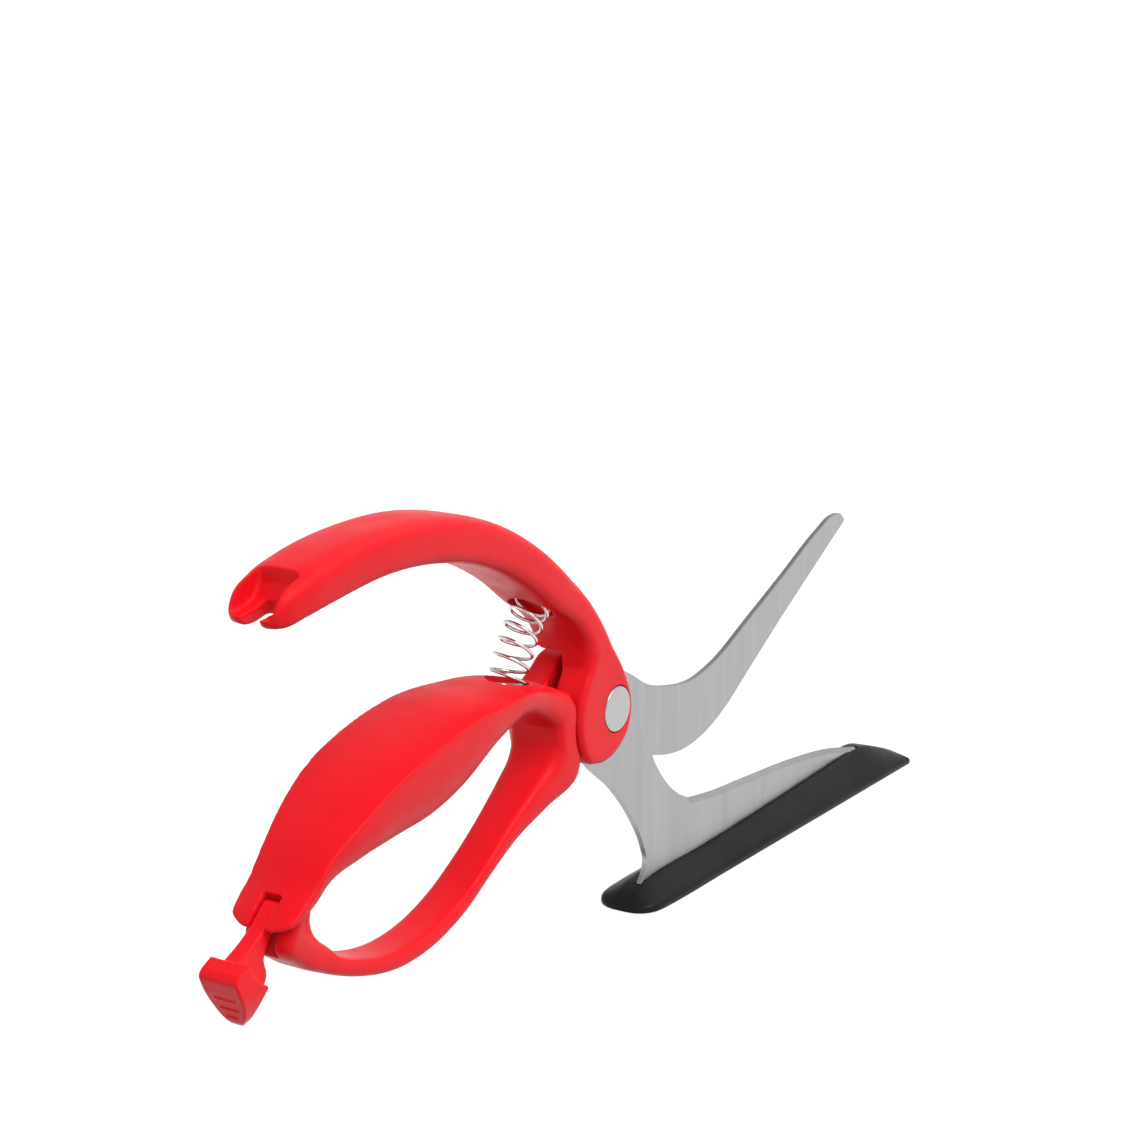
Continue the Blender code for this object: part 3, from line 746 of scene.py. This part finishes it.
def pivot_cap():
    """The far rivet head, hollow over the shank's end."""
    face = HANDLE_HALF + SEAT_GAP
    seat = face - HEAD_THICK
    bore = SHANK_R + GAP / 2
    roof = HANDLE_HALF - 0.5 * HEAD_THICK + SEAT_GAP
    inside = [(bore, seat), (bore, roof), (SMALLEST_RING, roof)]
    return turned("cap", head_profile(face, seat, -1.0) + inside)


def coil_rise(t):
    """Share of the spring's length reached at a share of its turns: nearly flat turns at both ends."""
    flat_share = 1.0 / SPRING_TURNS
    if t < flat_share:
        return t / flat_share * FLAT_RISE
    if t > 1 - flat_share:
        return 1 - (1 - t) / flat_share * FLAT_RISE
    return FLAT_RISE + (t - flat_share) / (1 - 2 * flat_share) * (1 - 2 * FLAT_RISE)


def spring_line(share):
    """The spring's middle line is an arc about the rivet.

    Its point at a share of the spring's length, the way out from the rivet there, and the way along.
    """
    low, high = (math.atan2(p.z, p.x) for p in (SPRING_LOW, SPRING_HIGH))
    reach = SPRING_LOW.length + share * (SPRING_HIGH.length - SPRING_LOW.length)
    seat = (POCKET_DEPTH - WIRE_R - GAP) / reach
    angle = low + seat + share * (high - low - 2 * seat)
    outward = Vector((math.cos(angle), 0.0, math.sin(angle)))
    return reach * outward, outward, Vector((math.sin(angle), 0.0, -math.cos(angle)))


def coil_spring():
    """Round wire wound about the spring's middle line."""
    count = SPRING_TURNS * POINTS_PER_TURN
    centres = []
    axes = []
    for k in range(count + 1):
        turn = 2 * math.pi * k / POINTS_PER_TURN
        middle, outward, axis = spring_line(coil_rise(k / count))
        centres.append(middle + SPRING_R * (math.cos(turn) * outward + math.sin(turn) * Vector((0, 1, 0))))
        axes.append(axis)
    rings = []
    for k, (centre, axis) in enumerate(zip(centres, axes)):
        ahead = (centres[min(k + 1, count)] - centres[max(k - 1, 0)]).normalized()
        across = ahead.cross(axis).normalized()
        rings.append(circle(centre, WIRE_R, across, across.cross(ahead), WIRE_SIDES))
    return solid("coil", rings)


def strap_outline():
    """The latch's strap from the side: an eye on the pin and a bar down into the head."""
    back = smooth([(-125.5, -14.3), (-128.2, -16.8), (-132.0, -19.3), (-137.0, -21.6)], LATCH_STEPS)
    front = [(-131.0, -30.0), (-128.4, -29.2), (-127.5, -27.2), (-128.3, -23.6), (-125.6, -18.6)]
    eye = arc(LATCH_EYE_R, -60, 125, (LATCH_AXIS.x, LATCH_AXIS.z))
    return eye + back + [(-138.0, -26.0)] + smooth(front, LATCH_STEPS)


def head_outline():
    """The latch's head from the side: the hook's round inner face, the thumb side and the tab's end."""
    hook = arc(HOOK_R, 240.8, 205.6, (LATCH_AXIS.x, LATCH_AXIS.z))
    thumb = [(-140.2, -22.8), (-141.2, -24.0), (-140.4, -26.6), (-138.9, -29.7), (-137.3, -33.0)]
    end = [(-136.3, -35.1), (-135.2, -36.1), (-134.5, -35.2), (-133.6, -32.8), (-132.3, -30.4)]
    return hook + smooth(thumb, LATCH_STEPS) + smooth(end, LATCH_STEPS)


def latch_taper():
    """The shape of the latch's head seen along X: square above, and tapering to the tab below."""
    side = [(5.3, -18.0), (5.3, -26.0), (5.1, -29.0), (4.4, -31.6), (3.3, -34.0), (1.8, -35.8)]
    side = smooth(side, LATCH_STEPS) + [np.array((0.6, -36.3))]
    loop = [(y, z) for y, z in side] + [(-y, z) for y, z in reversed(side)]
    return solid("taper", [[(x, y, z) for y, z in loop] for x in (-145.0, -125.0)])


def latch():
    """A strap on a pin with a wide hooked head that tapers to a ridged thumb tab."""
    strap = slab("strap", strap_outline(), -STRAP_HALF, STRAP_HALF)
    bevel(strap, STRAP_ROUND, segments=4, angle=60)
    head = slab("head", head_outline(), -LATCH_HEAD_HALF, LATCH_HEAD_HALF)
    cut(head, latch_taper(), operation="INTERSECT")
    bevel(head, LATCH_HEAD_ROUND, segments=3, angle=40)
    ridges = [rod("ridge", RIDGE_R, (x, -half, z), (x, half, z), RIDGE_SIDES) for x, z, half in RIDGES]
    swing = relax(remesh(merge(head, strap, *ridges), LATCH_VOXEL), LATCH_SMOOTHING)
    return cut(swing, pin_cutter("bore", LATCH_BORE_HALF))


# --- material nodes ------------------------------------------------------------------------------


def new_material(name):
    """A new node material, its node tree and its Principled shader."""
    made = bpy.data.materials.new(name)
    made.use_nodes = True
    tree = made.node_tree
    return made, tree, tree.nodes["Principled BSDF"]


def node(tree, kind, **inputs):
    """A new node with some of its inputs set; a socket's spaces are underscores here."""
    made = tree.nodes.new(kind)
    for key, value in inputs.items():
        made.inputs[key.replace("_", " ")].default_value = value
    return made


def grain(tree, stretch, scale, detail=3.0, roughness=0.5):
    """Noise over the object's own coordinates, stretched along each axis; scale is per metre."""
    coordinates = tree.nodes.new("ShaderNodeTexCoord")
    mapping = node(tree, "ShaderNodeMapping", Scale=stretch)
    noise = node(tree, "ShaderNodeTexNoise", Scale=scale, Detail=detail, Roughness=roughness)
    tree.links.new(coordinates.outputs["Object"], mapping.inputs["Vector"])
    tree.links.new(mapping.outputs["Vector"], noise.inputs["Vector"])
    return noise.outputs["Fac"]


def ramp(tree, source, low, high, start=0.3, end=0.7):
    """Map a grain value to a range of numbers or colours."""
    made = tree.nodes.new("ShaderNodeMix")
    colour = not isinstance(low, float)
    made.data_type = "RGBA" if colour else "FLOAT"
    limits = node(tree, "ShaderNodeMapRange", From_Min=start, From_Max=end)
    tree.links.new(source, limits.inputs["Value"])
    tree.links.new(limits.outputs["Result"], made.inputs["Factor"])
    first, second, result = MIX_SOCKETS[made.data_type]
    made.inputs[first].default_value = (*low, 1.0) if colour else low
    made.inputs[second].default_value = (*high, 1.0) if colour else high
    return made.outputs[result]


def bump(tree, shader, height, strength, distance):
    made = node(tree, "ShaderNodeBump", Strength=strength, Distance=distance)
    tree.links.new(height, made.inputs["Height"])
    tree.links.new(made.outputs["Normal"], shader.inputs["Normal"])


# --- materials -----------------------------------------------------------------------------------


def moulded_plastic(name, deep, light, smoothest, roughest, texture, tint, specular):
    """Moulded plastic: a fine spark-eroded texture, slight colour drift and uneven polish."""
    made, tree, shader = new_material(name)
    drift = grain(tree, EVEN, DRIFT_SCALE, detail=2.0)
    tree.links.new(ramp(tree, drift, deep, light), shader.inputs["Base Color"])
    polish = grain(tree, EVEN, POLISH_SCALE, detail=4.0)
    tree.links.new(ramp(tree, polish, smoothest, roughest), shader.inputs["Roughness"])
    bump(tree, shader, grain(tree, EVEN, TEXTURE_SCALE, detail=2.0), texture, TEXTURE_DEPTH)
    shader.inputs["IOR"].default_value = PLASTIC_IOR
    shader.inputs["Specular IOR Level"].default_value = specular
    shader.inputs["Specular Tint"].default_value = (*tint, 1.0)
    return made


def matte_red():
    """The handles' satin red."""
    return moulded_plastic(
        "matte_red",
        deep=(0.78, 0.006, 0.014),
        light=(0.83, 0.009, 0.018),
        smoothest=0.34,
        roughest=0.46,
        texture=0.3,
        tint=WARM_TINT,
        specular=0.24,
    )


def gloss_red():
    """The latch's smoother red."""
    return moulded_plastic(
        "gloss_red",
        deep=(0.84, 0.006, 0.014),
        light=(0.88, 0.009, 0.018),
        smoothest=0.26,
        roughest=0.34,
        texture=0.04,
        tint=WARM_TINT,
        specular=0.26,
    )


def black_nylon():
    """The sled's satin black."""
    return moulded_plastic(
        "black_nylon",
        deep=(0.008, 0.008, 0.009),
        light=(0.012, 0.012, 0.013),
        smoothest=0.3,
        roughest=0.42,
        texture=0.3,
        tint=NEUTRAL_TINT,
        specular=0.12,
    )


def blade_sheet():
    """Stainless sheet brushed up and down: streaks in colour, roughness and height."""
    made, tree, shader = new_material("blade_sheet")
    dark, light, roughness = (0.36, 0.36, 0.36), (0.4, 0.4, 0.4), 0.36
    streaks = grain(tree, UPRIGHT, STREAK_SCALE, detail=4.0, roughness=0.6)
    broad = grain(tree, UPRIGHT, BROAD_SCALE)
    tree.links.new(ramp(tree, broad, dark, light, 0.25, 0.75), shader.inputs["Base Color"])
    tree.links.new(ramp(tree, streaks, roughness - 0.05, roughness + 0.07), shader.inputs["Roughness"])
    bump(tree, shader, streaks, 0.12, STREAK_DEPTH)
    shader.inputs["Metallic"].default_value = 1.0
    return made


def rivet_face():
    """A faced rivet head: rings left by the tool, about the rivet's axis."""
    made, tree, shader = new_material("rivet_face")
    colour, roughness = (0.45, 0.445, 0.44), 0.3
    coordinates = tree.nodes.new("ShaderNodeTexCoord")
    mapping = node(tree, "ShaderNodeMapping", Location=(-PIVOT.x, 0.0, -PIVOT.z), Scale=(1, 0, 1))
    wave = node(tree, "ShaderNodeTexWave", Scale=STREAK_SCALE, Distortion=0.6, Detail=2.0)
    wave.wave_type = "RINGS"
    wave.rings_direction = "SPHERICAL"
    rings = wave.outputs["Fac"]
    tree.links.new(coordinates.outputs["Object"], mapping.inputs["Vector"])
    tree.links.new(mapping.outputs["Vector"], wave.inputs["Vector"])
    shader.inputs["Base Color"].default_value = (*colour, 1.0)
    shader.inputs["Metallic"].default_value = 1.0
    tree.links.new(ramp(tree, rings, roughness - 0.04, roughness + 0.06), shader.inputs["Roughness"])
    bump(tree, shader, rings, 0.08, STREAK_DEPTH)
    return made


def bright_wire():
    """Drawn spring wire, bright and a little uneven."""
    made, tree, shader = new_material("bright_wire")
    shader.inputs["Base Color"].default_value = (0.66, 0.65, 0.63, 1.0)
    shader.inputs["Metallic"].default_value = 1.0
    tree.links.new(ramp(tree, grain(tree, EVEN, STREAK_SCALE), 0.14, 0.26), shader.inputs["Roughness"])
    return made


# --- stage ---------------------------------------------------------------------------------------


def sky(tree):
    """Brightness of the studio by height: bright round the horizon, dimmer below and overhead."""
    coordinates = tree.nodes.new("ShaderNodeTexCoord")
    split = tree.nodes.new("ShaderNodeSeparateXYZ")
    height = node(tree, "ShaderNodeMapRange", From_Min=-1.0, From_Max=1.0)
    levels = tree.nodes.new("ShaderNodeValToRGB")
    tree.links.new(coordinates.outputs["Generated"], split.inputs["Vector"])
    tree.links.new(split.outputs["Z"], height.inputs["Value"])
    tree.links.new(height.outputs["Result"], levels.inputs["Fac"])
    stops = levels.color_ramp.elements
    for z, level in SKY_LEVELS[1:-1]:
        stops.new((z + 1) / 2)
    for stop, (z, level) in zip(stops, SKY_LEVELS):
        stop.position = (z + 1) / 2
        stop.color = (level, level, level, 1.0)
    return levels.outputs["Color"]


def soft_sun(name, energy, spread, travel):
    """A sun whose light travels one way; its spread, in degrees, softens the shadows."""
    sun = bpy.data.lights.new(name, "SUN")
    sun.energy = energy
    sun.angle = math.radians(spread)
    lamp = bpy.data.objects.new(name, sun)
    lamp.rotation_mode = "QUATERNION"
    lamp.rotation_quaternion = Vector(travel).to_track_quat("-Z", "Y")
    bpy.context.scene.collection.objects.link(lamp)


def pale_floor():
    """A pale, evenly glowing floor: the camera and reflections see it, but it doesn't light the object."""
    bpy.ops.mesh.primitive_plane_add(size=FLOOR_SIZE, location=(0, 0, -FLOOR_DROP))
    floor = bpy.context.object
    floor.name = "floor"
    made, tree, shader = new_material("pale_floor")
    shader.inputs["Base Color"].default_value = (0.3, 0.3, 0.3, 1.0)
    shader.inputs["Roughness"].default_value = 0.9
    shader.inputs["Specular IOR Level"].default_value = 0.0
    shader.inputs["Emission Color"].default_value = (1.0, 1.0, 1.0, 1.0)
    shader.inputs["Emission Strength"].default_value = 0.86
    floor.data.materials.append(made)
    floor.visible_diffuse = False


def studio():
    """The floor, a graded sky, a key light and a sheen light."""
    pale_floor()
    world = bpy.data.worlds.new("studio")
    world.use_nodes = True
    background = world.node_tree.nodes["Background"]
    world.node_tree.links.new(sky(world.node_tree), background.inputs["Color"])
    bpy.context.scene.world = world
    soft_sun("key", energy=2.1, spread=45, travel=(0.1, 0.62, -0.78))
    soft_sun("sheen", energy=0.5, spread=50, travel=(-0.56, 0.3, -0.8))
    bpy.context.scene.view_settings.view_transform = "Standard"


def camera():
    lens = bpy.data.cameras.new("camera")
    lens.lens = FOCAL_LENGTH
    lens.sensor_width = SENSOR_WIDTH
    lens.clip_end = 100.0
    made = bpy.data.objects.new("camera", lens)
    bpy.context.scene.collection.objects.link(made)
    azimuth, elevation = math.radians(CAMERA_AZIMUTH), math.radians(CAMERA_ELEVATION)
    level = math.cos(elevation)
    ahead = Vector((math.sin(azimuth) * level, math.cos(azimuth) * level, -math.sin(elevation)))
    made.location = place(CAMERA_AT)
    made.rotation_mode = "QUATERNION"
    made.rotation_quaternion = ahead.to_track_quat("-Z", "Y")
    bpy.context.scene.camera = made


# --- the whole object ----------------------------------------------------------------------------


def build():
    """Every piece in place of its CAD node; the washer and the latch's pin stay as CAD makes them."""
    red = matte_red()
    glossy = gloss_red()
    black = black_nylon()
    sheet = blade_sheet()
    rivet = rivet_face()
    wire = bright_wire()

    finish(upper_handle(), "upper_grip", "fixed_half", red, "upper_handle")
    finish(lower_handle(), "lower_grip", "moving_half", red, "lower_handle")
    finish(lower_blade(), "lower_cutter", "fixed_half", sheet, "lower_blade", 20)
    finish(upper_blade(), "upper_cutter", "moving_half", sheet, "upper_blade", 20)
    finish(blade_sled(), "runner", "fixed_half", black, "blade_sled", 60)
    finish(pivot_stud(), "stud", "fixed_half", rivet, "pivot_stud")
    finish(pivot_cap(), "cap", "fixed_half", rivet, "pivot_cap")
    finish(latch(), "swing_latch", "latch", glossy, "latch", 45)
    spring = finish(coil_spring(), "coil", None, wire, "return_spring")
    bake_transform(spring)
    for name in ("tension_washer", "latch_pin"):
        frame["nodes"][name].data.materials.clear()
        frame["nodes"][name].data.materials.append(wire)


build()
studio()
camera()
